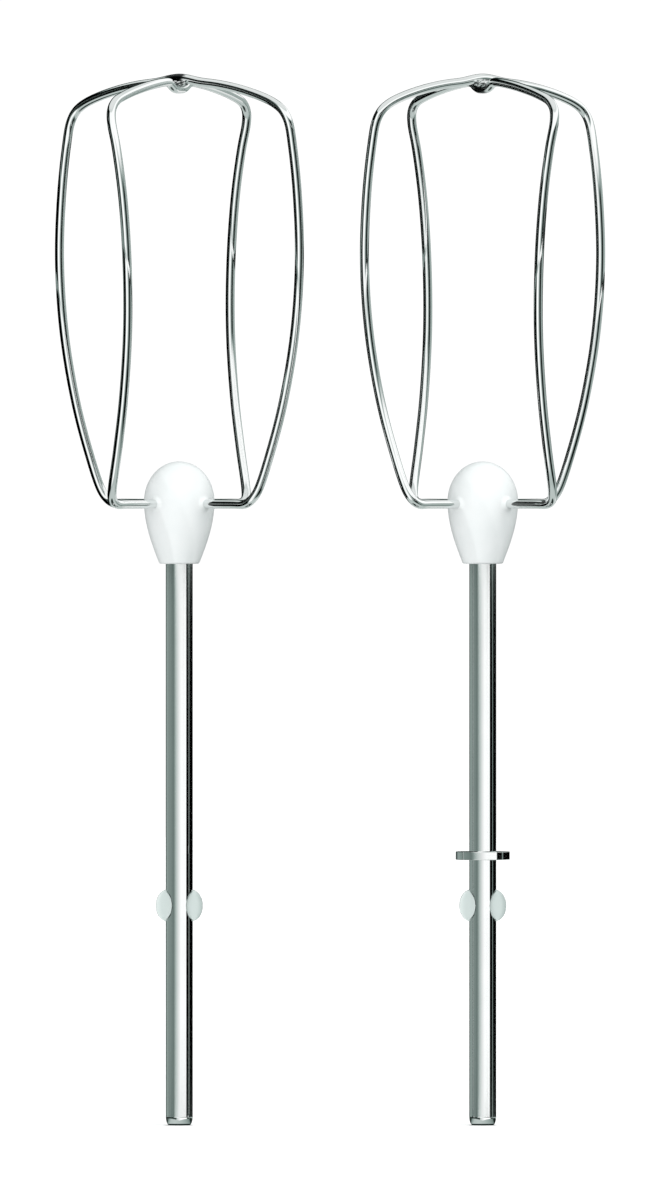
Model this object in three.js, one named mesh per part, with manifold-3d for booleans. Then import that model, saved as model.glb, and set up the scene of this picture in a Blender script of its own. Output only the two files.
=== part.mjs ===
// A pair of wire beaters for a hand mixer: each is a steel drive shaft with two coined ears,
// a moulded hub on its upper end and two crossing wire loops. The right one also has a collar.
// Millimetres, +Z up. The beaters stand on their drive ends, and the origin is on that level,
// midway between the two shafts. The front is towards -Y.

import * as THREE from 'three';
import { mergeVertices } from 'three/addons/utils/BufferGeometryUtils.js';
import Module from 'manifold-3d';

const wasm = await Module();
wasm.setup();

// ---- Driving dimensions ----

const SHAFT_SPACING = 56.2;
const FIT_GAP = 0.3; // clearance between pieces that touch or are moulded together

const SHAFT_RADIUS = 2.5;
const SHAFT_TOP = 119; // upper end, inside the hub
const END_FACE_RADIUS = 1.9;
const END_ROUNDING = 1.5;
const END_FULLNESS = 0.225; // height of the point that shapes the rounding
const NECK_RADIUS = 1.8; // waist that the hub's plastic grips
const NECK_BOTTOM = 107.4;
const NECK_TOP = 110.2;

const EAR_CENTRE = 40.7;
const EAR_HEIGHT = 5.6;
const EAR_REACH = 4.34; // from the shaft's axis
const EAR_INNER_EDGE = 1.3;
const EAR_THICKNESS = 1.2;

const COLLAR_RADIUS = 5;
const COLLAR_BOTTOM = 49.2;
const COLLAR_THICKNESS = 1.5;
const COLLAR_CHAMFER = 0.15;

const HUB_RADIUS = 6.5;
const HUB_BOTTOM = 104;
const HUB_BOTTOM_RADIUS = 3.65;
const SKIRT_LOWER = [5.15, 107.8]; // radius and height of the points that shape the skirt's curve
const SKIRT_UPPER = [HUB_RADIUS, 111.4];
const HUB_WIDEST = 115.6; // height of the largest diameter
const HUB_TOP = 122.95;

const WIRE_RADIUS = 0.85;
const FOOT_HEIGHT = 115.1;
const FOOT_TURN = 45; // the feet's direction, in degrees from the ears' front
const LEFT_CAGE_TURN = 2; // the left cage is set this much further round
const CROWN_HEIGHT = 192.9;
const CROWN_OFFSET = 1; // each loop's centre line passes this far over or under the crown height

// One arm of a wire loop, from the shaft out and up:
// radius from the shaft's axis, height, and bow, the turn in degrees away from the foot's direction.
const ARM_STATIONS = [
  [SHAFT_RADIUS + FIT_GAP, FOOT_HEIGHT, 0],
  [9.5, FOOT_HEIGHT, 0],
  [14.6, FOOT_HEIGHT, 0],
  [16.7, FOOT_HEIGHT, 0],
  [18.1, 115.8, 0.4],
  [19, 117.4, 2.6],
  [20.4, 125, 9.4],
  [21.9, 134.5, 15.3],
  [23.4, 147, 19.3],
  [24.2, 160, 19.9],
  [24.2, 172, 17.8],
];
// The rest of the arm, in to the crown, on the loop that passes over and on the one that passes under.
const OVER_ROOF = [
  [23.95, 181, 14.4],
  [23.65, 185.8, 11.8],
  [22.7, 187.8, 11],
  [20.9, 189.15, 11],
  [18, 190.4, 11],
  [13, 191.85, 11],
  [8.5, 192.7, 11],
  [4.6, 193.15, 11],
  [1.6, 193.75, 11],
];
const UNDER_ROOF = [
  [23.95, 181, 14.3],
  [23.75, 185.7, 11.6],
  [23.1, 187.9, 10.6],
  [21.5, 189.45, 10.1],
  [18.2, 190.65, 10],
  [13, 191.9, 10],
  [8.5, 192.7, 10],
  [4.6, 193.15, 10],
  [3.3, 193.1, 10],
  [2.6, 192.6, 10],
  [1.9, 192.1, 10],
  [1, 191.9, 10],
];

// Facets
const SHAFT_SIDES = 24;
const HUB_SIDES = 24;
const WIRE_SIDES = 8;
const STEPS_PER_STATION = 2;

// ---- Materials ----

const polishedSteel = () => new THREE.MeshStandardMaterial({ color: 0xc9d0ce, roughness: 0.12, metalness: 1 });
const brightWire = () => new THREE.MeshStandardMaterial({ color: 0xd2d8d6, roughness: 0.16, metalness: 1 });
const whitePlastic = () => new THREE.MeshStandardMaterial({ color: 0xf6f8f8, roughness: 0.3, metalness: 0 });

// ---- Solids ----

function toSolid(geometry) {
  geometry.deleteAttribute('normal');
  geometry.deleteAttribute('uv');
  const merged = mergeVertices(geometry, 1e-4);
  return new wasm.Manifold(new wasm.Mesh({
    numProp: 3,
    vertProperties: new Float32Array(merged.attributes.position.array),
    triVerts: new Uint32Array(merged.index.array),
  }));
}

function toGeometry(solid) {
  const { vertProperties, triVerts } = solid.getMesh();
  const geometry = new THREE.BufferGeometry();
  geometry.setAttribute('position', new THREE.BufferAttribute(vertProperties, 3));
  geometry.setIndex(new THREE.BufferAttribute(triVerts, 1));
  return geometry;
}

// Turns a profile in (radius, height) about the Z axis.
function lathe(profile, sides) {
  return new THREE.LatheGeometry(profile, sides).rotateX(Math.PI / 2);
}

// Extrudes an outline drawn in (x, z) along Y, from one depth to another.
function slab(outline, front, back) {
  const options = { depth: back - front, curveSegments: 8, bevelEnabled: false };
  return new THREE.ExtrudeGeometry(outline, options).rotateX(Math.PI / 2).translate(0, back, 0);
}

// ---- Drive shaft ----

// The lens that an ear shows from the front, on the +X side: two arcs between its lower and upper tips.
function earOutline() {
  const half = EAR_HEIGHT / 2;
  const tip = (EAR_REACH + EAR_INNER_EDGE) / 2;
  const pull = (EAR_REACH - tip) * 4 / 3;
  const rise = 0.7 * half;
  const outline = new THREE.Shape();
  outline.moveTo(tip, EAR_CENTRE - half);
  outline.bezierCurveTo(tip + pull, EAR_CENTRE - rise, tip + pull, EAR_CENTRE + rise, tip, EAR_CENTRE + half);
  outline.bezierCurveTo(tip - pull, EAR_CENTRE + rise, tip - pull, EAR_CENTRE - rise, tip, EAR_CENTRE - half);
  return outline;
}

// The rod is pinched from the front and back inside the ears' outlines, and its metal flows out to the sides.
function driveShaft() {
  const profile = new THREE.Path();
  profile.moveTo(0, 0);
  profile.lineTo(END_FACE_RADIUS, 0);
  profile.quadraticCurveTo(SHAFT_RADIUS, END_FULLNESS, SHAFT_RADIUS, END_ROUNDING);
  profile.lineTo(SHAFT_RADIUS, NECK_BOTTOM);
  profile.lineTo(NECK_RADIUS, NECK_BOTTOM);
  profile.lineTo(NECK_RADIUS, NECK_TOP);
  profile.lineTo(SHAFT_RADIUS, NECK_TOP);
  profile.lineTo(SHAFT_RADIUS, SHAFT_TOP);
  profile.lineTo(0, SHAFT_TOP);
  let shaft = toSolid(lathe(profile.getPoints(4), SHAFT_SIDES));

  const flat = EAR_THICKNESS / 2;
  const clear = SHAFT_RADIUS + 1;
  for (const turn of [0, Math.PI]) {
    const lens = (front, back) => toSolid(slab(earOutline(), front, back).rotateZ(turn));
    shaft = shaft.subtract(lens(-clear, -flat)).subtract(lens(flat, clear)).add(lens(-flat, flat));
  }
  return toGeometry(shaft);
}

// ---- Collar ----

function collar() {
  const bore = SHAFT_RADIUS + FIT_GAP;
  const rim = COLLAR_RADIUS - COLLAR_CHAMFER;
  const top = COLLAR_BOTTOM + COLLAR_THICKNESS;
  const profile = [
    new THREE.Vector2(bore, COLLAR_BOTTOM),
    new THREE.Vector2(rim, COLLAR_BOTTOM),
    new THREE.Vector2(COLLAR_RADIUS, COLLAR_BOTTOM + COLLAR_CHAMFER),
    new THREE.Vector2(COLLAR_RADIUS, top - COLLAR_CHAMFER),
    new THREE.Vector2(rim, top),
    new THREE.Vector2(bore, top),
    new THREE.Vector2(bore, COLLAR_BOTTOM),
  ];
  return lathe(profile, SHAFT_SIDES);
}

// ---- Hub ----

// An acorn shape: a tapered skirt and a domed top, moulded round the shaft's end and the wires' feet.
// footTurn: the direction of the channels for the feet, in degrees from the front.
function hub(footTurn) {
  const bore = SHAFT_RADIUS + FIT_GAP;
  const waist = NECK_RADIUS + FIT_GAP;

  const skirt = new THREE.CubicBezierCurve(
    new THREE.Vector2(HUB_BOTTOM_RADIUS, HUB_BOTTOM),
    new THREE.Vector2(...SKIRT_LOWER),
    new THREE.Vector2(...SKIRT_UPPER),
    new THREE.Vector2(HUB_RADIUS, HUB_WIDEST),
  );
  const dome = new THREE.EllipseCurve(0, HUB_WIDEST, HUB_RADIUS, HUB_TOP - HUB_WIDEST, 0, Math.PI / 2);

  const profile = [
    new THREE.Vector2(bore, HUB_BOTTOM),
    ...skirt.getPoints(7),
    ...dome.getPoints(8).slice(1, -1),
    new THREE.Vector2(0, HUB_TOP),
    new THREE.Vector2(0, SHAFT_TOP + FIT_GAP),
    new THREE.Vector2(bore, SHAFT_TOP + FIT_GAP),
    new THREE.Vector2(bore, NECK_TOP - FIT_GAP),
    new THREE.Vector2(waist, NECK_TOP - FIT_GAP),
    new THREE.Vector2(waist, NECK_BOTTOM + FIT_GAP),
    new THREE.Vector2(bore, NECK_BOTTOM + FIT_GAP),
    new THREE.Vector2(bore, HUB_BOTTOM),
  ];
  let body = toSolid(lathe(profile, HUB_SIDES));

  const channelRadius = WIRE_RADIUS + FIT_GAP;
  const channelStart = 1;
  const channelEnd = HUB_RADIUS + 2;
  const channelLength = channelEnd - channelStart;
  for (let quarter = 0; quarter < 4; quarter += 1) {
    const channel = new THREE.CylinderGeometry(channelRadius, channelRadius, channelLength, 12)
      .translate(0, -channelStart - channelLength / 2, 0)
      .rotateZ(THREE.MathUtils.degToRad(footTurn + 90 * quarter))
      .translate(0, 0, FOOT_HEIGHT);
    body = body.subtract(toSolid(channel));
  }
  return toGeometry(body);
}

// ---- Wire loops ----

// A smooth curve whose samples are spread evenly between its stations, not by length,
// so that tight bends get more of them than long arms.
class StationCurve extends THREE.CatmullRomCurve3 {
  getUtoTmapping(u) {
    return u;
  }
}

// A point at a radius and height, turned from the front (-Y) towards +X by an angle in degrees.
function around(radius, height, degrees) {
  const angle = THREE.MathUtils.degToRad(degrees);
  return new THREE.Vector3(radius * Math.sin(angle), -radius * Math.cos(angle), height);
}

// sense: the way round that the arms bow, +1 from the front towards +X or -1.
// footTurn: the direction of the foot at the front, in degrees.
// passesOver: whether this loop lies over the other one at the crown.
function wireLoop(sense, footTurn, passesOver) {
  const stations = [...ARM_STATIONS, ...(passesOver ? OVER_ROOF : UNDER_ROOF)];
  const arm = (foot) => stations.map(([radius, height, bow]) => around(radius, height, foot + sense * bow));
  const crown = new THREE.Vector3(0, 0, CROWN_HEIGHT + (passesOver ? CROWN_OFFSET : -CROWN_OFFSET));
  const route = new StationCurve([...arm(footTurn), crown, ...arm(footTurn + 180).reverse()]);

  const section = new THREE.Shape();
  section.absarc(0, 0, WIRE_RADIUS, 0, 2 * Math.PI);
  const tube = new THREE.ExtrudeGeometry(section, {
    steps: (route.points.length - 1) * STEPS_PER_STATION,
    curveSegments: WIRE_SIDES / 2,
    extrudePath: route,
    bevelEnabled: false,
  });
  return toGeometry(toSolid(tube));
}

// ---- Assembly ----

function named(name, geometry, material) {
  const mesh = new THREE.Mesh(geometry, material);
  mesh.name = name;
  return mesh;
}

// side: -1 for the left beater and +1 for the right one, its mirror image.
// cageTurn: how far the hub and its loops are set round from their usual place, in degrees.
function beater(name, side, cageTurn) {
  const sense = -side;
  const overFoot = sense * (FOOT_TURN + cageTurn);
  const underFoot = sense * (cageTurn - FOOT_TURN);
  const group = new THREE.Group();
  group.position.x = side * SHAFT_SPACING / 2;
  group.add(named(`${name}_drive_shaft`, driveShaft(), polishedSteel()));
  group.add(named(`${name}_hub`, hub(overFoot), whitePlastic()));
  group.add(named(`${name}_over_wire`, wireLoop(sense, overFoot, true), brightWire()));
  group.add(named(`${name}_under_wire`, wireLoop(sense, underFoot, false), brightWire()));
  return group;
}

const left = beater('left', -1, LEFT_CAGE_TURN);
const right = beater('right', 1, 0);
right.add(named('right_collar', collar(), polishedSteel()));

const beaters = new THREE.Group();
beaters.add(left, right);

export default beaters;
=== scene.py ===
"""A pair of wire beaters for a hand mixer, standing on their drive ends in a white studio.

Shapes are worked out in millimetres and built in metres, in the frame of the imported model.
Azimuths are in degrees from the front (-Y), positive towards +X.
"""
import math

import bpy
import numpy as np
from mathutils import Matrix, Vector, noise


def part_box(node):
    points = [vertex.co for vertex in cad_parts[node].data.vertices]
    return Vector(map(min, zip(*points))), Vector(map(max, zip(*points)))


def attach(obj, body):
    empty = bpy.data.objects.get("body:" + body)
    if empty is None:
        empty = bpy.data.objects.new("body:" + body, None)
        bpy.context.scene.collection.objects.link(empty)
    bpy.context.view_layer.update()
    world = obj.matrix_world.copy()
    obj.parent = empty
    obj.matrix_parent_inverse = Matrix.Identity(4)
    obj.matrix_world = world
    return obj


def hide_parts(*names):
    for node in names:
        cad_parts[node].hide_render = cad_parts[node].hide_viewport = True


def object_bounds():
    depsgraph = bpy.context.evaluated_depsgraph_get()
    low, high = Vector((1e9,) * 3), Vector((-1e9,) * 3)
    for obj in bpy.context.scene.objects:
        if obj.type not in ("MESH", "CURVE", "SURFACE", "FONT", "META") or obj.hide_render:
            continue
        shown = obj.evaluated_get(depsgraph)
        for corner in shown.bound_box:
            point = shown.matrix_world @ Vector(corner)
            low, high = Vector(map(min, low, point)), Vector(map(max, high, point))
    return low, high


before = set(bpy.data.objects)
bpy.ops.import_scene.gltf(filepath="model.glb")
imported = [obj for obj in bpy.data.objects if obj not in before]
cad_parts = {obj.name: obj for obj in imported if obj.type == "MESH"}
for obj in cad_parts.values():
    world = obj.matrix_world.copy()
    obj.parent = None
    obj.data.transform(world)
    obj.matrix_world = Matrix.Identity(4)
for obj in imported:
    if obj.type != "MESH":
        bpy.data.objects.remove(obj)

CAD_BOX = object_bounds()
MM = 0.001

# ---- Dimensions shared with the CAD model, in millimetres ----

SHAFT_RADIUS = 2.5
SHAFT_TOP = 119.0
END_FACE_RADIUS = 1.9
END_ROUNDING = 1.5
# The (radius, height) that the rounding's curve bends towards.
END_MIDDLE = (2.42, 0.2)

EAR_CENTRE = 40.7
EAR_HEIGHT = 5.6
EAR_REACH = 4.34
EAR_INNER_EDGE = 1.3
EAR_THICKNESS = 1.2

COLLAR_RADIUS = 5.0
COLLAR_BOTTOM = 49.2
COLLAR_THICKNESS = 1.5

HUB_RADIUS = 6.5
HUB_BOTTOM = 104.0
HUB_BOTTOM_RADIUS = 3.65
HUB_WIDEST = 115.6
HUB_TOP = 122.95

WIRE_RADIUS = 0.85
FOOT_HEIGHT = 115.1
FOOT_TURN = 45.0
LEFT_CAGE_TURN = 2.0
CROWN_HEIGHT = 192.9
CROWN_OFFSET = 1.0
WELD_HALF_SIZE = (1.75, 1.45, 0.72)
# Where the welding has blackened each cage's wires, from the beater's axis, and how far it reaches.
SCORCHES = {"left": (-0.9, 0.0, 194.2), "right": (-0.8, 0.0, 191.2)}
SCORCH_REACH = (2.4, 2.4, 1.3)

# One arm of a wire loop, from the shaft out, up and in to the crown: radius, height and bow in degrees.
ARM_STATIONS = [
    (2.8, 115.1, 0.0),
    (9.5, 115.1, 0.0),
    (14.6, 115.1, 0.0),
    (16.7, 115.1, 0.0),
    (18.1, 115.8, 0.4),
    (19.0, 117.4, 2.6),
    (20.4, 125.0, 9.4),
    (21.9, 134.5, 15.3),
    (23.4, 147.0, 19.3),
    (24.2, 160.0, 19.9),
    (24.2, 172.0, 17.8),
]
OVER_ROOF = [
    (23.95, 181.0, 14.4),
    (23.65, 185.8, 11.8),
    (22.7, 187.8, 11.0),
    (20.9, 189.15, 11.0),
    (18.0, 190.4, 11.0),
    (13.0, 191.85, 11.0),
    (8.5, 192.7, 11.0),
    (4.6, 193.15, 11.0),
    (1.6, 193.75, 11.0),
]
UNDER_ROOF = [
    (23.95, 181.0, 14.3),
    (23.75, 185.7, 11.6),
    (23.1, 187.9, 10.6),
    (21.5, 189.45, 10.1),
    (18.2, 190.65, 10.0),
    (13.0, 191.9, 10.0),
    (8.5, 192.7, 10.0),
    (4.6, 193.15, 10.0),
    (3.3, 193.1, 10.0),
    (2.6, 192.6, 10.0),
    (1.9, 192.1, 10.0),
    (1.0, 191.9, 10.0),
]


# ---- Meshes ----

def shaft_axis(side):
    """x of a beater's axis, in millimetres."""
    low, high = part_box(f"{side}_hub")
    return (low.x + high.x) / 2 / MM


ATTRIBUTE_KEYS = {"FLOAT": "value", "FLOAT_VECTOR": "vector", "FLOAT_COLOR": "color"}


def mesh_object(name, points, faces, material, crease=35.0, attributes=None):
    """A smooth-shaded mesh from points in millimetres. Edges sharper than crease stay sharp."""
    mesh = bpy.data.meshes.new(name)
    mesh.from_pydata([tuple(p) for p in np.asarray(points, float) * MM], [], faces)
    mesh.update()
    for attribute, (kind, values) in (attributes or {}).items():
        layer = mesh.attributes.new(attribute, kind, "POINT")
        layer.data.foreach_set(ATTRIBUTE_KEYS[kind], np.asarray(values, np.float32).ravel())
    mesh.shade_smooth()
    mesh.set_sharp_from_angle(angle=math.radians(crease))
    mesh.materials.append(material)
    piece = bpy.data.objects.new(name, mesh)
    bpy.context.scene.collection.objects.link(piece)
    return piece


def finish_piece(piece, body, slot, *nodes):
    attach(piece, body)
    if nodes:
        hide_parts(*nodes)


def skin(rings, capped=True, looped=False):
    """Points and faces of a tube through rings of equal length, each counter-clockwise about its path."""
    count = len(rings[0])
    points = [p for ring in rings for p in ring]
    faces = []
    for r in range(len(rings) if looped else len(rings) - 1):
        here, there = r * count, (r + 1) % len(rings) * count
        for s in range(count):
            t = (s + 1) % count
            faces.append((here + s, here + t, there + t, there + s))
    if capped:
        faces.append(tuple(reversed(range(count))))
        faces.append(tuple(range(len(points) - count, len(points))))
    return points, faces


def circle(radius, height, sides, centre):
    angles = np.arange(sides) * 2 * math.pi / sides
    return [(centre + radius * math.cos(a), radius * math.sin(a), height) for a in angles]


def smooth_step(value, low, high):
    t = min(max((value - low) / (high - low), 0.0), 1.0)
    return t * t * (3 - 2 * t)


# ---- Drive shafts ----

# How many points of a quarter's section lie on the rod's arc, and how many on the ear.
ARC_POINTS = 16
EAR_POINTS = 12
# The rounded edge of an ear, as points in from its side and down from its face.
EAR_EDGE = [(0.09, 0.0), (0.04, 0.01), (0.01, 0.04), (0.0, 0.09)]
# The largest chamfer where the stamp's wall meets the rod and the ear.
STAMP_CHAMFER = 0.07
# The arc stops this angle short of the stamp's wall.
ARC_SHORTFALL = 0.02
# Plain rings this far past a feature keep it from bending the reflections beside it.
EAR_SUPPORT = 0.15
SUPPORT_SPACING = 0.05


def quarter_section(inner, reach):
    """The rod's section in one quarter, from (0, radius) to (reach, 0), with an ear from x = inner out."""
    flat = EAR_THICKNESS / 2
    end = math.acos(inner / SHAFT_RADIUS) + ARC_SHORTFALL
    wall_top = math.sqrt(SHAFT_RADIUS ** 2 - inner ** 2)
    section = []
    for i in range(ARC_POINTS):
        a = math.pi / 2 + (end - math.pi / 2) * i / (ARC_POINTS - 1)
        section.append((SHAFT_RADIUS * math.cos(a), SHAFT_RADIUS * math.sin(a)))
    nip = min(STAMP_CHAMFER, max(wall_top - flat, 0.0) / 3)
    wall = inner + nip * 0.3
    section += [(wall, wall_top - nip), (wall, flat + nip), (wall + nip, flat)]
    width = reach - inner
    section += [(inner + width * share, flat) for share in (0.35, 0.65)]
    section += [(reach - across, flat - down) for across, down in EAR_EDGE]
    section += [(reach, flat * share) for share in (0.5, 0.25, 0.0)]
    return section


def round_section(radius):
    """A plain quarter section with its points spread as quarter_section spreads them."""
    limit = math.asin(EAR_THICKNESS / 2 / SHAFT_RADIUS)
    upper = [math.pi / 2 + (limit - math.pi / 2) * i / (ARC_POINTS - 1) for i in range(ARC_POINTS)]
    lower = [limit * (1 - (i + 1) / EAR_POINTS) for i in range(EAR_POINTS)]
    return [(radius * math.cos(a), radius * math.sin(a)) for a in upper + lower]


def whole_section(quarter, height, centre):
    """A closed ring, counter-clockwise, from a section of one quarter."""
    first = list(reversed(quarter))
    second = [(-x, y) for x, y in quarter[1:]]
    third = [(-x, -y) for x, y in reversed(quarter[:-1])]
    fourth = [(x, -y) for x, y in quarter[1:-1]]
    return [(centre + x, y, height) for x, y in first + second + third + fourth]


def build_shaft(side):
    centre = shaft_axis(side)
    rings, coined = [], []

    def ring(quarter, height, eared=False):
        section = whole_section(quarter, height, centre)
        rings.append(section)
        coined.extend(float(eared and abs(abs(y) - EAR_THICKNESS / 2) < 0.001) for _, y, _ in section)

    # The rounding is a quadratic curve from the end face's rim to the rod's side.
    for t in (*np.linspace(0, 0.96, 12), 1):
        radius = (1 - t) ** 2 * END_FACE_RADIUS + 2 * t * (1 - t) * END_MIDDLE[0] + t * t * SHAFT_RADIUS
        height = 2 * t * (1 - t) * END_MIDDLE[1] + t * t * END_ROUNDING
        ring(round_section(radius), height)
    ring(round_section(SHAFT_RADIUS), END_ROUNDING + SUPPORT_SPACING)
    half = EAR_HEIGHT / 2
    tip = (EAR_REACH + EAR_INNER_EDGE) / 2
    swell = EAR_REACH - tip
    # where the ear's face would leave the rod, less a hair
    limit = math.sqrt(SHAFT_RADIUS ** 2 - (EAR_THICKNESS / 2) ** 2) - 0.01
    ring(round_section(SHAFT_RADIUS), EAR_CENTRE - half - EAR_SUPPORT - SUPPORT_SPACING)
    ring(round_section(SHAFT_RADIUS), EAR_CENTRE - half - EAR_SUPPORT)
    # Each side of an ear's lens is a cubic Bezier curve whose middle points lie at 0.7 of the half height.
    for u in np.linspace(-1, 1, 49):
        height = EAR_CENTRE + half * (1.275 * u - 0.275 * u ** 3)
        bulge = swell * (1 - u * u)
        ring(quarter_section(min(tip - bulge, limit), tip + bulge), height, eared=True)
    ring(round_section(SHAFT_RADIUS), EAR_CENTRE + half + EAR_SUPPORT)
    ring(round_section(SHAFT_RADIUS), EAR_CENTRE + half + EAR_SUPPORT + SUPPORT_SPACING)
    ring(round_section(SHAFT_RADIUS), SHAFT_TOP)
    points, faces = skin(rings)
    attributes = {"coined": ("FLOAT", coined)}
    shaft = mesh_object(f"{side}_shaft", points, faces, SHAFT_STEEL, crease=24, attributes=attributes)
    finish_piece(shaft, f"{side}_beater", "shaft_steel", f"{side}_drive_shaft")


# ---- Collar ----

def build_collar():
    centre = shaft_axis("right")
    low, high = COLLAR_BOTTOM, COLLAR_BOTTOM + COLLAR_THICKNESS
    bore = SHAFT_RADIUS + 0.01
    edge = 0.06
    support = 0.02
    profile = [(bore, low), (COLLAR_RADIUS - edge, low)]
    for a in np.radians([-67.5, -45, -22.5, 0]):
        profile.append((COLLAR_RADIUS - edge + edge * math.cos(a), low + edge + edge * math.sin(a)))
    profile += [(COLLAR_RADIUS, low + edge + support), (COLLAR_RADIUS, high - edge - support)]
    for a in np.radians([0, 22.5, 45, 67.5, 90]):
        profile.append((COLLAR_RADIUS - edge + edge * math.cos(a), high - edge + edge * math.sin(a)))
    profile.append((bore, high))
    rings = [circle(radius, height, 96, centre) for radius, height in profile]
    points, faces = skin(rings, capped=False, looped=True)
    collar = mesh_object("right_drive_collar", points, faces, COLLAR_STEEL, crease=30)
    finish_piece(collar, "right_beater", "collar_steel", "right_collar")


# ---- Hubs ----

# (radius, height) of the points of the skirt's cubic Bezier curve.
HUB_SKIRT = np.array([
    (HUB_BOTTOM_RADIUS, HUB_BOTTOM), (5.15, 107.8), (HUB_RADIUS, 111.4), (HUB_RADIUS, HUB_WIDEST),
])
FILLET_RISE = 0.42
SEAM_RISE = 0.025
GATE_HEIGHT = 109.2


def hub_profile(count):
    """(radius, height) of the hub's outline from the bottom edge to the top."""
    skirt = []
    for t in np.linspace(0, 1, count):
        weights = np.array([(1 - t) ** 3, 3 * (1 - t) ** 2 * t, 3 * (1 - t) * t * t, t ** 3])
        skirt.append(tuple(weights @ HUB_SKIRT))
    dome = []
    for a in np.linspace(0, math.pi / 2, count)[1:-1]:
        dome.append((HUB_RADIUS * math.cos(a), HUB_WIDEST + (HUB_TOP - HUB_WIDEST) * math.sin(a)))
    return skirt + dome


def hub_relief(azimuth, radius, height, foot_turn):
    """How far the hub's surface stands proud at a point.

    There are fillets round the wire feet, a parting line and the gate's mark at the back."""
    proud = 0.0
    for quarter in range(4):
        turn = math.radians(azimuth - foot_turn - 90 * quarter)
        if math.cos(turn) > 0:
            away = math.hypot(radius * math.sin(turn), height - FOOT_HEIGHT) - WIRE_RADIUS
            proud += FILLET_RISE * (1 - smooth_step(away, -0.2, 0.8)) ** 1.3
    across, back = math.sin(math.radians(azimuth)), -math.cos(math.radians(azimuth))
    proud += SEAM_RISE * (1 - smooth_step(abs(radius * back), 0.02, 0.12))
    if back > 0:
        # a low round pad with a small pit in its middle
        gate = math.hypot(radius * across, height - GATE_HEIGHT)
        proud += 0.06 * (1 - smooth_step(gate, 0.55, 0.7)) - 0.09 * (1 - smooth_step(gate, 0.1, 0.3))
    return proud


def build_hub(side, foot_turn):
    centre = shaft_axis(side)
    sides = 240
    bottom_edge = 0.15
    rings = [circle(HUB_BOTTOM_RADIUS - bottom_edge, HUB_BOTTOM, sides, centre)]
    profile = hub_profile(64)
    for radius, height in profile[1:]:
        ring = []
        for angle in np.arange(sides) * 360 / sides:
            r = radius + hub_relief(angle + 90, radius, height, foot_turn)
            a = math.radians(angle)
            ring.append((centre + r * math.cos(a), r * math.sin(a), height))
        rings.append(ring)
    points, faces = skin(rings, capped=False)
    faces.append(tuple(reversed(range(sides))))
    points.append((centre, 0.0, HUB_TOP))
    last = len(points) - 1
    start = last - sides
    faces += [(start + s, start + (s + 1) % sides, last) for s in range(sides)]
    hub = mesh_object(f"{side}_moulded_hub", points, faces, HUB_PLASTIC, crease=50)
    finish_piece(hub, f"{side}_beater", "hub_plastic", f"{side}_hub")


# ---- Wire loops ----

def around(radius, height, azimuth):
    a = math.radians(azimuth)
    return np.array([radius * math.sin(a), -radius * math.cos(a), height])


def through(stations, steps=14):
    """A centripetal Catmull-Rom curve through points."""
    knots = [2 * stations[0] - stations[1], *stations, 2 * stations[-1] - stations[-2]]
    path = []
    for a, b, c, d in zip(knots, knots[1:], knots[2:], knots[3:]):
        t1 = math.sqrt(np.linalg.norm(b - a))
        t2 = t1 + math.sqrt(np.linalg.norm(c - b))
        t3 = t2 + math.sqrt(np.linalg.norm(d - c))
        for t in np.linspace(t1, t2, steps, endpoint=False):
            ab = ((t1 - t) * a + t * b) / t1
            bc = ((t2 - t) * b + (t - t1) * c) / (t2 - t1)
            cd = ((t3 - t) * c + (t - t2) * d) / (t3 - t2)
            abc = ((t2 - t) * ab + t * bc) / t2
            bcd = ((t3 - t) * bc + (t - t1) * cd) / (t3 - t1)
            path.append(((t2 - t) * abc + (t - t1) * bcd) / (t2 - t1))
    path.append(knots[-2])
    return np.array(path)


def evened(path, step, blur):
    """The path resampled at equal steps and smoothed by a Gaussian of width blur, with its ends kept."""
    lengths = np.concatenate([[0], np.cumsum(np.linalg.norm(np.diff(path, axis=0), axis=1))])
    even = np.linspace(0, lengths[-1], int(lengths[-1] / step) + 1)
    path = np.stack([np.interp(even, lengths, path[:, axis]) for axis in range(3)], axis=1)
    reach = int(3 * blur / step)
    weights = np.exp(-0.5 * (np.arange(-reach, reach + 1) * step / blur) ** 2)
    weights /= weights.sum()
    padded = np.concatenate([2 * path[0] - path[reach:0:-1], path, 2 * path[-1] - path[-2:-reach - 2:-1]])
    return np.stack([np.convolve(padded[:, axis], weights, "valid") for axis in range(3)], axis=1)


def scorch(point, side):
    """How darkly the welding has marked the wire at a point, from 0 to 1."""
    away = np.linalg.norm((point - np.array(SCORCHES[side])) / SCORCH_REACH)
    ragged = away + 0.3 * noise.noise(Vector(point) * 1.7)
    return 1 - smooth_step(ragged, 0.7, 1.1)


WIRE_SIDES = 28
WIRE_STEP = 0.3
# How far the bends are eased where they follow the stations.
WIRE_EASING = 0.55


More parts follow.
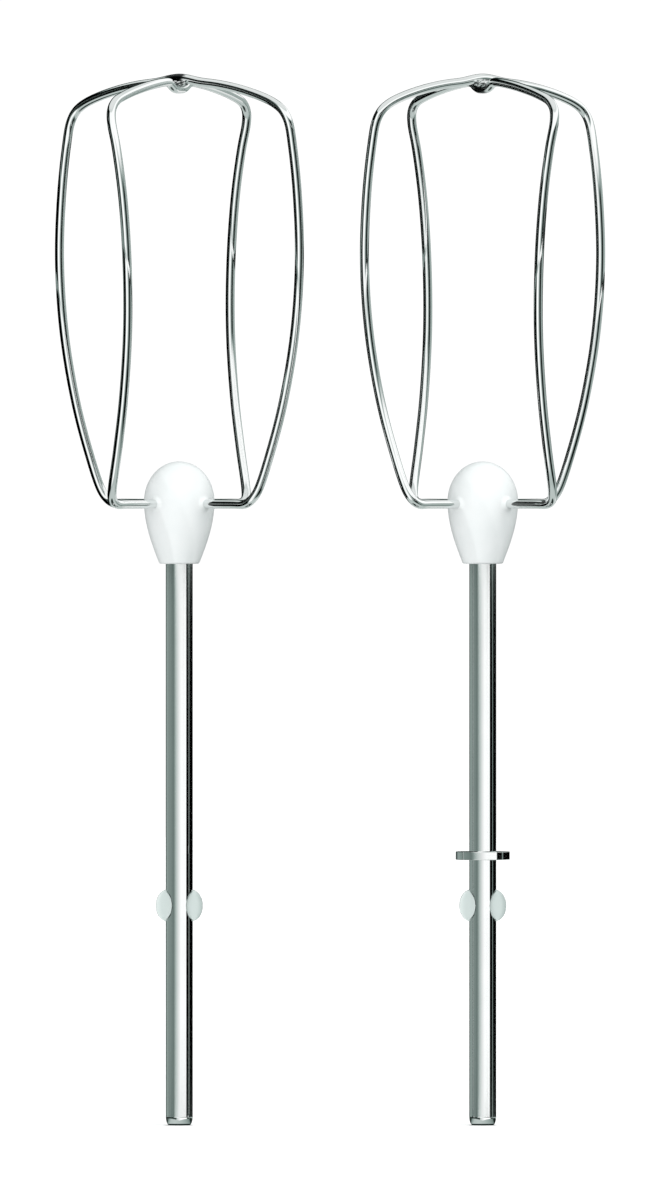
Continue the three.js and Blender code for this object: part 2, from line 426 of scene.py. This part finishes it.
def build_wire(side, sense, foot_turn, over):
    """A loop from foot to foot over the crown. sense is 1 or -1 for the way round that its arms bow."""
    centre = shaft_axis(side)
    stations = ARM_STATIONS + (OVER_ROOF if over else UNDER_ROOF)

    def arm(foot):
        return [around(r, h, foot + sense * bow) for r, h, bow in stations]

    crown = np.array([0, 0, CROWN_HEIGHT + (CROWN_OFFSET if over else -CROWN_OFFSET)])
    path = through([*arm(foot_turn), crown, *reversed(arm(foot_turn + 180))])
    path = evened(path, WIRE_STEP, WIRE_EASING)
    tangents = np.gradient(path, axis=0)
    tangents /= np.linalg.norm(tangents, axis=1)[:, None]
    angles = np.arange(WIRE_SIDES) * 2 * math.pi / WIRE_SIDES
    normal = np.array([0, 0, 1.0])
    rings, drawn, scorched = [], [], []
    along = 0.0
    for i, (point, tangent) in enumerate(zip(path, tangents)):
        normal = normal - normal.dot(tangent) * tangent
        normal /= np.linalg.norm(normal)
        across = np.cross(tangent, normal)
        along += np.linalg.norm(path[i] - path[i - 1]) if i else 0
        ring = []
        for a in angles:
            offset = WIRE_RADIUS * (math.cos(a) * normal + math.sin(a) * across)
            ring.append(point + offset + (centre, 0, 0))
            drawn.append((WIRE_RADIUS * math.cos(a) * MM, WIRE_RADIUS * math.sin(a) * MM, along * MM))
            scorched.append(scorch(point + offset, side))
        rings.append(ring)
    points, faces = skin(rings)
    kind = "over" if over else "under"
    attributes = {"drawn": ("FLOAT_VECTOR", drawn), "scorched": ("FLOAT", scorched)}
    wire = mesh_object(f"{side}_{kind}_loop", points, faces, WIRE_STEEL, attributes=attributes)
    finish_piece(wire, f"{side}_beater", "wire_steel", f"{side}_{kind}_wire")


def build_weld(side):
    """The lump of melted metal where the two loops of a cage cross."""
    centre = shaft_axis(side)
    length, width, height = WELD_HALF_SIZE
    rings = []
    sides = 40
    for v in np.linspace(-0.48, 0.48, 25) * math.pi:
        ring = []
        for a in np.arange(sides) * 2 * math.pi / sides:
            direction = Vector((math.cos(v) * math.cos(a), math.cos(v) * math.sin(a), math.sin(v)))
            # broad lumps with finer ones on them, different on each beater
            lump = 1 + 0.16 * noise.noise(direction * 2.6 + Vector((centre, 0, 0)))
            lump += 0.07 * noise.noise(direction * 6.5 + Vector((0, centre, 0)))
            ring.append((
                centre + length * lump * direction.x,
                width * lump * direction.y,
                CROWN_HEIGHT + height * lump * direction.z,
            ))
        rings.append(ring)
    points, faces = skin(rings)
    drawn = [(x * MM, y * MM, z * MM) for x, y, z in points]
    # patches of scale, by a noise of their own
    scorched = [0.9 * smooth_step(noise.noise(Vector(p) * 1.9), 0.0, 0.2) for p in points]
    attributes = {"drawn": ("FLOAT_VECTOR", drawn), "scorched": ("FLOAT", scorched)}
    weld = mesh_object(f"{side}_crown_weld", points, faces, WIRE_STEEL, crease=80, attributes=attributes)
    finish_piece(weld, f"{side}_beater", "wire_steel")


# ---- Materials ----

class Nodes:
    """Short calls for a material's node tree."""

    def __init__(self, name):
        self.material = bpy.data.materials.new(name)
        self.material.use_nodes = True
        self.tree = self.material.node_tree
        self.shader = self.tree.nodes["Principled BSDF"]

    def add(self, kind, inputs=None, **settings):
        node = self.tree.nodes.new(kind)
        for key, value in settings.items():
            setattr(node, key, value)
        for key, value in (inputs or {}).items():
            self.feed(node, key, value)
        return node

    def feed(self, node, key, value):
        if isinstance(value, bpy.types.NodeSocket):
            self.tree.links.new(value, node.inputs[key])
        else:
            node.inputs[key].default_value = value

    def noise(self, vector, scale, stretch=(1, 1, 1), detail=3.0, roughness=0.5):
        mapping = self.add("ShaderNodeMapping", {"Vector": vector, "Scale": stretch})
        options = {"Vector": mapping.outputs[0], "Scale": scale, "Detail": detail, "Roughness": roughness}
        return self.add("ShaderNodeTexNoise", options).outputs["Fac"]

    def remap(self, value, low, high, to_low, to_high):
        inputs = {"Value": value, "From Min": low, "From Max": high, "To Min": to_low, "To Max": to_high}
        return self.add("ShaderNodeMapRange", inputs, clamp=True).outputs[0]

    def blend(self, factor, first, second):
        node = self.add("ShaderNodeMix", data_type="RGBA")
        self.feed(node, 0, factor)
        self.feed(node, 6, first)
        self.feed(node, 7, second)
        return node.outputs[2]

    def bump(self, height, depth):
        return self.add("ShaderNodeBump", {"Height": height, "Distance": depth, "Strength": 0.5}).outputs[0]


# How fine each texture is, in cycles to a metre.
LINE_SCALE = 7000
STEEL_CLOUD_SCALE = 320
PLASTIC_CLOUD_SCALE = 260
GRAIN_SCALE = 9000


def steel(name, space, stretch, colour, rough, relief, worn=None):
    """Bright steel with fine drawn or turned lines.

    space is "object" or a vector attribute, stretch the lines' direction, rough the lowest and highest
    roughness, relief the lines' depth, and worn a mask attribute, its colour and the roughness it adds."""
    n = Nodes(name)
    if space == "object":
        vector = n.add("ShaderNodeTexCoord").outputs["Object"]
    else:
        vector = n.add("ShaderNodeAttribute", attribute_name=space).outputs["Vector"]
    lines = n.noise(vector, LINE_SCALE, stretch, 3, 0.55)
    cloud = n.noise(vector, STEEL_CLOUD_SCALE, (1, 1, 0.5), 3)
    shade = n.blend(n.remap(cloud, 0.3, 0.7, 0, 1), [0.96 * c for c in colour] + [1], [*colour, 1])
    texture = n.remap(lines, 0.3, 0.75, rough[0], rough[1])
    if worn:
        attribute, worn_colour, worn_rough = worn
        mask = n.add("ShaderNodeAttribute", attribute_name=attribute).outputs["Fac"]
        shade = n.blend(mask, shade, (*worn_colour, 1))
        frosted = n.add("ShaderNodeMath", operation="MULTIPLY_ADD")
        n.feed(frosted, 0, mask)
        n.feed(frosted, 1, worn_rough)
        n.feed(frosted, 2, texture)
        texture = frosted.outputs[0]
    n.feed(n.shader, "Base Color", shade)
    n.shader.inputs["Metallic"].default_value = 1.0
    n.feed(n.shader, "Roughness", texture)
    n.feed(n.shader, "Normal", n.bump(lines, relief))
    return n.material


def plastic(name):
    """White moulded plastic with a soft gloss and the faint grain of its mould."""
    n = Nodes(name)
    vector = n.add("ShaderNodeTexCoord").outputs["Object"]
    cloud = n.remap(n.noise(vector, PLASTIC_CLOUD_SCALE, (1, 1, 1), 3), 0.3, 0.7, 0, 1)
    n.feed(n.shader, "Base Color", n.blend(cloud, (0.875, 0.915, 0.915, 1), (0.905, 0.94, 0.94, 1)))
    grain = n.noise(vector, GRAIN_SCALE, (1, 1, 1), 2)
    n.feed(n.shader, "Roughness", n.remap(grain, 0.3, 0.7, 0.28, 0.38))
    n.shader.inputs["Specular IOR Level"].default_value = 0.3
    n.shader.inputs["IOR"].default_value = 1.49
    n.shader.inputs["Subsurface Weight"].default_value = 0.1
    n.shader.inputs["Subsurface Radius"].default_value = (1.0, 1.0, 1.0)
    n.shader.inputs["Subsurface Scale"].default_value = 0.0012
    n.feed(n.shader, "Normal", n.bump(grain, 0.000004))
    return n.material


STEEL_COLOUR = (0.80, 0.82, 0.815)
COINED = ("coined", (0.68, 0.75, 0.735), 0.3)
SCORCHED = ("scorched", (0.03, 0.033, 0.033), 0.1)
SHAFT_STEEL = steel("polished shaft steel", "object", (1, 1, 0.004), STEEL_COLOUR, (0.02, 0.05), 2e-7, COINED)
WIRE_STEEL = steel("bright wire", "drawn", (1, 1, 0.004), STEEL_COLOUR, (0.02, 0.05), 2e-7, SCORCHED)
COLLAR_COLOUR = (0.79, 0.81, 0.805)
COLLAR_STEEL = steel("turned collar steel", "object", (0.01, 0.01, 1), COLLAR_COLOUR, (0.02, 0.06), 4e-7)
HUB_PLASTIC = plastic("white hub plastic")


# ---- Studio ----

# The screens stand so far off that where they show depends only on the angle of the reflection.
SCREEN_RADIUS = 20000.0
EYE_LEVEL = 105.0
SHAFT_BAND = (-0.0385, -0.0105)
SCREEN_BOTTOM = -0.9
SCREEN_TOP = 1.4


def tone(stops, azimuth):
    """Brightness between stops of (azimuth, brightness), in azimuth order."""
    return float(np.interp(azimuth, [a for a, _ in stops], [b for _, b in stops]))


def green_grey(brightness):
    """A neutral white that turns a cool grey-green as it darkens."""
    near_white = min(brightness, 1.0)
    return (brightness * (0.72 + 0.28 * near_white), brightness, brightness * (0.92 + 0.08 * near_white), 1)


WHITE = 1.27
# What the upright shafts and the collar see, from the left round the front to the right.
SHAFT_STOPS = [
    (-180, 0.04), (-152, 0.06), (-144, 0.22), (-126, 0.42), (-118, 0.38), (-108, 0.33), (-85, 0.31),
    (-62, 0.27), (-52, 0.22), (-43, 0.30), (-34, 0.48), (-25, 0.65), (-16, 0.78), (-8, 0.90),
    (0, 1.03), (9, 1.18), (17, WHITE), (61, WHITE), (64, 0.0), (90, 0.0), (91, 0.3), (97, 0.3),
    (98, 0.0), (172, 0.0), (176, 0.2), (180, 0.4),
]
# What the wires of the cages see.
CAGE_STOPS = [
    (-180, 0.0), (-52, 0.0), (-44, 0.5), (-36, WHITE), (-10, WHITE), (2, 0.9), (14, 0.5), (25, 0.22),
    (36, 0.08), (39, 0.0), (65, 0.0), (68, 0.3), (84, 0.42), (100, 0.5), (128, 0.55), (180, 0.6),
]


def screen_tone(azimuth, rise):
    """rise is the tangent of the height above eye level, as seen from the beaters."""
    if SHAFT_BAND[0] <= rise <= SHAFT_BAND[1]:
        return green_grey(tone(SHAFT_STOPS, azimuth))
    level = tone(CAGE_STOPS, azimuth)
    if azimuth < 0:
        # a thin grey line above, on the upper side of the roof wires
        slit = smooth_step(rise, 0.25, 0.26) * (1 - smooth_step(rise, 0.285, 0.295))
        level = max(level, 0.4 * slit)
        pale = smooth_step(-rise, 0.68, 0.76)
    else:
        # white above the right side
        level = max(level, WHITE * smooth_step(rise, 0.2, 0.35))
        # a shade low on the right, and white further round
        shade = smooth_step(-rise, 0.28, 0.36) * smooth_step(azimuth, 84, 92)
        level += (0.28 - level) * shade
        far_right = smooth_step(azimuth, 103, 108)
        level += (0.95 - level) * far_right * smooth_step(-rise, 0.4, 0.5)
        # a dark line between the two, along the lower side of the roof wires
        line = smooth_step(azimuth, 60, 65) * (1 - smooth_step(azimuth, 82, 86))
        level -= level * line * smooth_step(-rise, 0.26, 0.3) * (1 - smooth_step(-rise, 0.46, 0.52))
        pale = smooth_step(-rise, 0.5, 0.7) * (1 - far_right)
    # the table's pale edge
    level += (0.62 - level) * pale
    # dark behind at cage height, with light under it
    rear = smooth_step(abs(azimuth), 154, 160)
    level += (0.1 - level) * rear * smooth_step(rise, -0.2, -0.1) * (1 - smooth_step(rise, 0.75, 0.85))
    level += (0.8 - level) * rear * smooth_step(-rise, 0.25, 0.35)
    # the light overhead
    level += (0.85 - level) * smooth_step(rise, 0.85, 1.0)
    return green_grey(level)


def table_tone(azimuth, radius):
    """Pale, with a dark middle, a painted shadow under the shafts, that shows only along the lower edges of
    the shafts' ends.
    """
    return green_grey(0.04 + 0.64 * smooth_step(radius / SCREEN_RADIUS, 0.3, 0.4))


def screen(name, rows, tones):
    """A round card seen only in reflections.

    rows are its (radius, height) from start to end, and tones gives each row's colour by azimuth."""
    columns = 720
    points, colours, faces = [], [], []
    for (radius, height), row_tone in zip(rows, tones):
        for column in range(columns):
            azimuth = -180 + 360 * column / columns
            points.append(around(radius, height, azimuth))
            colours.append(row_tone(azimuth))
    for row in range(len(rows) - 1):
        for column in range(columns):
            there = (column + 1) % columns
            faces.append((row * columns + column, row * columns + there,
                          (row + 1) * columns + there, (row + 1) * columns + column))
    n = Nodes(name)
    n.tree.nodes.remove(n.shader)
    colour = n.add("ShaderNodeVertexColor", layer_name="tone").outputs["Color"]
    glow = n.add("ShaderNodeEmission", {"Color": colour})
    n.tree.links.new(glow.outputs[0], n.tree.nodes["Material Output"].inputs["Surface"])
    n.material.cycles.emission_sampling = "NONE"
    card = mesh_object(name, points, faces, n.material, attributes={"tone": ("FLOAT_COLOR", colours)})
    card.visible_camera = False
    card.visible_diffuse = False
    card.visible_shadow = False
    card.visible_transmission = False
    card.visible_volume_scatter = False
    return card


def build_screens():
    def row(function, level):
        return lambda azimuth: function(azimuth, level)

    low, high = SHAFT_BAND
    step = 0.0001  # keeps the band's edges sharp
    under, over = np.linspace(SCREEN_BOTTOM, low - step, 40), np.linspace(high + step, SCREEN_TOP, 160)
    rises = [*under, low, high, *over]
    heights = [EYE_LEVEL + SCREEN_RADIUS * rise for rise in rises]
    screen("round_screen", [(SCREEN_RADIUS, h) for h in heights], [row(screen_tone, rise) for rise in rises])
    top = [(SCREEN_RADIUS, heights[-1]), (1.0, heights[-1])]
    screen("top_light", top, [lambda azimuth: green_grey(0.95)] * 2)
    radii = np.linspace(1, SCREEN_RADIUS, 60)
    screen("table_card", [(r, heights[0]) for r in radii], [row(table_tone, r) for r in radii])


# The table round a shaft's end, from the left round the front to the right, as its rounding sees it.
CONTACT_STOPS = [
    (-180, 0.0), (-112, 0.0), (-92, 0.3), (-62, 0.62), (-25, 0.68), (10, 0.6), (45, 0.45), (78, 0.28),
    (95, 0.0), (180, 0.0),
]
CONTACT_REACH = 19.0
# The cards fall away outwards, so that the other shaft doesn't see them.
CONTACT_SLOPE = 0.03


def contact_tone(azimuth, away):
    """What the rounded end of a shaft sees, by direction and distance from its axis.

    Nearby is the table, painted dark right under the shaft as its shadow, and past it the shaft's own bands
    run on."""
    near = tone(CONTACT_STOPS, azimuth) * smooth_step(away, 2.3, 2.5)
    far = 0.05 if azimuth < -20 else tone(SHAFT_STOPS, azimuth)
    # the bands reach lowest in the middle of the rounding
    edge = 4.5 + 0.068 * min(abs(azimuth), 90)
    return green_grey(0.02 + near + (far - near) * smooth_step(away, edge, edge + 0.5))


def build_contact_cards():
    radii = [0.5, 2.2, *np.arange(2.3, 3.0, 0.05), *np.arange(3.0, CONTACT_REACH + 0.1, 0.25)]
    for side in ("left", "right"):
        tones = [lambda azimuth, away=away: contact_tone(azimuth, away) for away in radii]
        rows = [(away, -CONTACT_SLOPE * max(away - SHAFT_RADIUS, 0.0)) for away in radii]
        card = screen(f"{side}_contact_card", rows, tones)
        card.location = (shaft_axis(side) * MM, 0, -0.01 * MM)


def build_floor():
    n = Nodes("white table")
    vector = n.add("ShaderNodeTexCoord").outputs["Object"]
    cloud = n.noise(vector, 6)
    white = n.blend(cloud, (0.93, 0.93, 0.93, 1), (0.95, 0.95, 0.95, 1))
    # The shafts stand alike either side of the middle, each with a thin contact shadow painted round its end.
    mirrored = n.add("ShaderNodeVectorMath", {0: vector}, operation="ABSOLUTE").outputs[0]
    foot = (abs(shaft_axis("left")) * MM, 0, 0)
    away = n.add("ShaderNodeVectorMath", {0: mirrored, 1: foot}, operation="DISTANCE").outputs["Value"]
    shade_start, shade_end = 2.2 * MM, 3.2 * MM
    open_to_light = n.remap(away, shade_start, shade_end, 0, 1)
    n.feed(n.shader, "Base Color", n.blend(open_to_light, (0.02, 0.02, 0.02, 1), white))
    n.feed(n.shader, "Emission Color", n.blend(open_to_light, (0, 0, 0, 1), (1, 1, 1, 1)))
    n.shader.inputs["Roughness"].default_value = 0.9
    n.shader.inputs["Specular IOR Level"].default_value = 0.0
    reach = 2500.0
    corners = [(-reach, -reach * 2, 0), (reach, -reach * 2, 0), (reach, reach, 0), (-reach, reach, 0)]
    n.shader.inputs["Emission Strength"].default_value = 0.24
    n.material.cycles.emission_sampling = "NONE"
    floor = mesh_object("white_table_top", corners, [(0, 1, 2, 3)], n.material)
    floor.visible_glossy = False
    floor.visible_diffuse = False


def build_world():
    """White behind the object. The light that falls on it is a soft gradient over the whole sphere:
    brightest from the front and the upper right, dim from the lower right and the upper left."""
    world = bpy.data.worlds.new("studio")
    bpy.context.scene.world = world
    world.use_nodes = True
    tree = world.node_tree
    tree.nodes.clear()

    def node(kind, *inputs, **settings):
        made = tree.nodes.new(kind)
        for key, value in settings.items():
            setattr(made, key, value)
        for socket, value in zip(made.inputs, inputs):
            if isinstance(value, bpy.types.NodeSocket):
                tree.links.new(value, socket)
            else:
                socket.default_value = value
        return made

    def maths(operation, *inputs):
        return node("ShaderNodeMath", *inputs, operation=operation).outputs[0]

    axes = node("ShaderNodeSeparateXYZ", node("ShaderNodeTexCoord").outputs["Generated"])
    x, y, z = axes.outputs
    middle, rightward, backward, upward, upper_right, darkest = 0.81, -0.27, -0.62, 0.264, 1.35, 0.02
    level = maths("MULTIPLY_ADD", x, rightward, middle)
    level = maths("MULTIPLY_ADD", y, backward, level)
    level = maths("MULTIPLY_ADD", z, upward, level)
    level = maths("MULTIPLY_ADD", maths("MULTIPLY", x, z), upper_right, level)
    level = maths("MAXIMUM", level, darkest)
    colour = node("ShaderNodeMix", data_type="RGBA", clamp_factor=True)
    tree.links.new(level, colour.inputs[0])
    colour.inputs[6].default_value = (0.85, 1.0, 0.97, 1)
    colour.inputs[7].default_value = (1, 1, 1, 1)
    studio = node("ShaderNodeBackground", colour.outputs[2], level)
    backdrop = node("ShaderNodeBackground", (1.05, 1.05, 1.05, 1))
    camera_ray = node("ShaderNodeLightPath").outputs["Is Camera Ray"]
    mix = node("ShaderNodeMixShader", camera_ray, studio.outputs[0], backdrop.outputs[0])
    node("ShaderNodeOutputWorld", mix.outputs[0])


def area_light(name, place, target, size, power):
    data = bpy.data.lights.new(name, "AREA")
    data.shape = "DISK"
    data.size = size
    data.energy = power
    lamp = bpy.data.objects.new(name, data)
    lamp.location = place
    lamp.rotation_euler = (Vector(target) - Vector(place)).to_track_quat("-Z", "Y").to_euler()
    lamp.visible_glossy = False
    lamp.visible_camera = False
    bpy.context.scene.collection.objects.link(lamp)


def build_camera():
    """A long lens from the front at cage height, framing the pair as closely as the photograph does."""
    low, high = CAD_BOX
    data = bpy.data.cameras.new("camera")
    camera = bpy.data.objects.new("camera", data)
    bpy.context.scene.collection.objects.link(camera)
    distance = 5.0
    cage_height = 0.160
    frame_height = 0.2222
    target = Vector((0.0, 0.0, (high.z - low.z) / 2 - 0.0001))
    camera.location = (0.0, -distance, cage_height)
    view = target - camera.location
    camera.rotation_euler = view.to_track_quat("-Z", "Y").to_euler()
    data.lens = data.sensor_width * view.length / frame_height
    data.clip_end = 50
    bpy.context.scene.camera = camera


build_camera()
for beater, sense, turn in (("left", 1, LEFT_CAGE_TURN), ("right", -1, 0.0)):
    over_foot = sense * (FOOT_TURN + turn)
    under_foot = sense * (turn - FOOT_TURN)
    build_shaft(beater)
    build_hub(beater, over_foot)
    build_wire(beater, sense, over_foot, True)
    build_wire(beater, sense, under_foot, False)
    build_weld(beater)
build_collar()
build_floor()
build_screens()
build_contact_cards()
build_world()
area_light("overhead softbox", (0.9, -0.3, 1.2), (0, 0, 0), 0.5, 1.0)

scene = bpy.context.scene
scene.view_settings.view_transform = "Standard"
scene.view_settings.look = "None"
